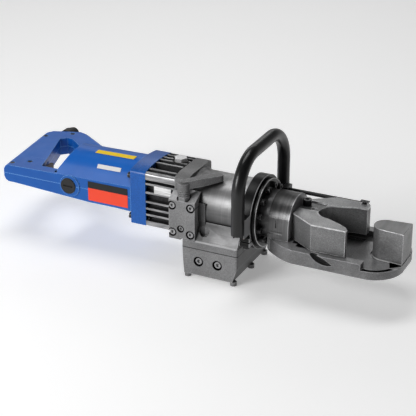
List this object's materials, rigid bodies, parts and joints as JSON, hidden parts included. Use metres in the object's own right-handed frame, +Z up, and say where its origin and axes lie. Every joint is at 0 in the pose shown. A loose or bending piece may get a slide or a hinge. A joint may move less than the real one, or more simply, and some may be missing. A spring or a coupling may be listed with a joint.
{
  "type": "portable electro-hydraulic rebar bender",
  "caption": "Portable electro-hydraulic rebar bender: D-handle motor, finned oil tank, cylinder on a pedestal, sliding U fork and fixed post.",
  "frame": {"origin": "floor point under the middle of the feet pattern, on the underside of the centre foot", "axes": "+X along the ram towards the bending head, +Y away from the valve block side, +Z up; ram axis at 100 mm height"},
  "size_m": [0.656, 0.2378, 0.2145],
  "materials": {
    "blue_plastic": "smooth moulded shell with a light sheen",
    "blue_paint": "satin enamel on cast alloy",
    "trigger_brown": "fine matt texture",
    "black_plastic": "matt moulded",
    "black_rubber": "matt rubber",
    "lamination": "stacked electrical steel",
    "copper": "lacquered copper",
    "carbon": "sooty carbon",
    "shaft_steel": "ground steel",
    "fan_plastic": "moulded nylon",
    "bronze": "sintered bronze",
    "spring_steel": "oiled spring wire",
    "black_oxide": "black oxide with bright worn edges",
    "zinc": "zinc plated",
    "tank_aluminium": "as-cast fins with machined faces",
    "cast_grey": "satin grey enamel on a sand casting",
    "head_steel": "satin grey enamel on machined steel with bright rubbed edges",
    "black_paint": "gloss black enamel",
    "label_black": "printed film, blank",
    "label_red": "printed film, blank",
    "label_yellow": "printed film, blank",
    "label_white": "printed film, blank"
  },
  "bodies": {
    "tool_frame": {"housing_lower": "blue_plastic", "housing_upper": "blue_plastic", "gear_collar": "blue_paint", "trigger_switch": "black_plastic", "brush_caps": "black_plastic", "cable_gland": "black_rubber", "filler_washer": "black_rubber", "field_stator": "lamination", "stator_coils": "copper", "carbon_brushes": "carbon", "armature_bearings": "shaft_steel", "main_bearing": "shaft_steel", "lay_bushes": "bronze", "rod_gland": "bronze", "return_spring": "spring_steel", "housing_screws": "black_oxide", "collar_bolts": "black_oxide", "flange_bolts": "black_oxide", "rod_guide": "black_oxide", "base_screws": "zinc", "valve_screws": "zinc", "valve_plug": "zinc", "filler_plug": "zinc", "oil_tank": "tank_aluminium", "pump_block": "tank_aluminium", "cylinder_body": "cast_grey", "base_block": "cast_grey", "feet": "cast_grey", "valve_block": "cast_grey", "bending_head": "head_steel", "bending_post": "head_steel", "nameplate_black": "label_black", "nameplate_red": "label_red", "label_yellow": "label_yellow", "label_white": "label_white"},
    "armature": {"armature_core": "lamination", "armature_shaft": "shaft_steel", "commutator": "copper", "cooling_fan": "fan_plastic"},
    "layshaft_set": {"layshaft": "shaft_steel", "lay_gear": "shaft_steel"},
    "eccentric_set": {"eccentric_shaft": "shaft_steel", "drive_gear": "shaft_steel", "eccentric_bearing": "shaft_steel"},
    "plunger_near": {"pump_plunger_near": "shaft_steel"},
    "plunger_far": {"pump_plunger_far": "shaft_steel"},
    "ram": {"piston": "shaft_steel", "piston_seal": "black_rubber", "piston_rod": "shaft_steel", "bending_fork": "head_steel", "fork_set_bolt": "black_oxide", "angle_rod": "black_oxide", "angle_rod_bolt": "black_oxide", "stop_collar": "shaft_steel"},
    "trigger_body": {"trigger": "trigger_brown"},
    "release_valve": {"release_spindle": "shaft_steel", "release_lever": "cast_grey"},
    "handle": {"clamp_ring": "black_paint", "clamp_bolt": "black_oxide", "carry_handle": "black_paint"}
  },
  "joints": [
    {"name": "ram_slide", "type": "slide", "parent": "tool_frame", "child": "ram", "axis": [1, 0, 0], "range_m": [0, 0.055], "stiffness_N_per_m": 1800, "springref_m": -0.03, "deforming": ["return_spring"]},
    {"name": "trigger_press", "type": "slide", "parent": "tool_frame", "child": "trigger_body", "axis": [-1, 0, 0], "range_m": [0, 0.005], "stiffness_N_per_m": 900, "springref_m": -0.002},
    {"name": "release_turn", "type": "hinge", "parent": "tool_frame", "child": "release_valve", "pos_m": [-0.044, -0.054, 0.12], "axis": [0, 0, 1], "range_deg": [-75, 0]},
    {"name": "handle_tilt", "type": "hinge", "parent": "tool_frame", "child": "handle", "pos_m": [0.0547, 0, 0.1], "axis": [1, 0, 0], "range_deg": [-30, 0]},
    {"name": "motor_spin", "type": "hinge", "parent": "tool_frame", "child": "armature", "pos_m": [-0.2, 0, 0.1], "axis": [1, 0, 0], "continuous": true},
    {"name": "layshaft_spin", "type": "hinge", "parent": "tool_frame", "child": "layshaft_set", "pos_m": [-0.12, 0, 0.119], "axis": [1, 0, 0], "continuous": true},
    {"name": "eccentric_spin", "type": "hinge", "parent": "tool_frame", "child": "eccentric_set", "pos_m": [-0.1, 0, 0.1], "axis": [1, 0, 0], "continuous": true},
    {"name": "plunger_near_stroke", "type": "slide", "parent": "tool_frame", "child": "plunger_near", "axis": [0, -1, 0], "range_m": [0, 0.003], "stiffness_N_per_m": 900, "springref_m": -0.002},
    {"name": "plunger_far_stroke", "type": "slide", "parent": "tool_frame", "child": "plunger_far", "axis": [0, 1, 0], "range_m": [0, 0.003], "stiffness_N_per_m": 900, "springref_m": -0.002}
  ],
  "couplings": [
    {"joint": "layshaft_spin", "follows": "motor_spin", "ratio": -0.26667},
    {"joint": "eccentric_spin", "follows": "motor_spin", "ratio": 0.12308}
  ]
}
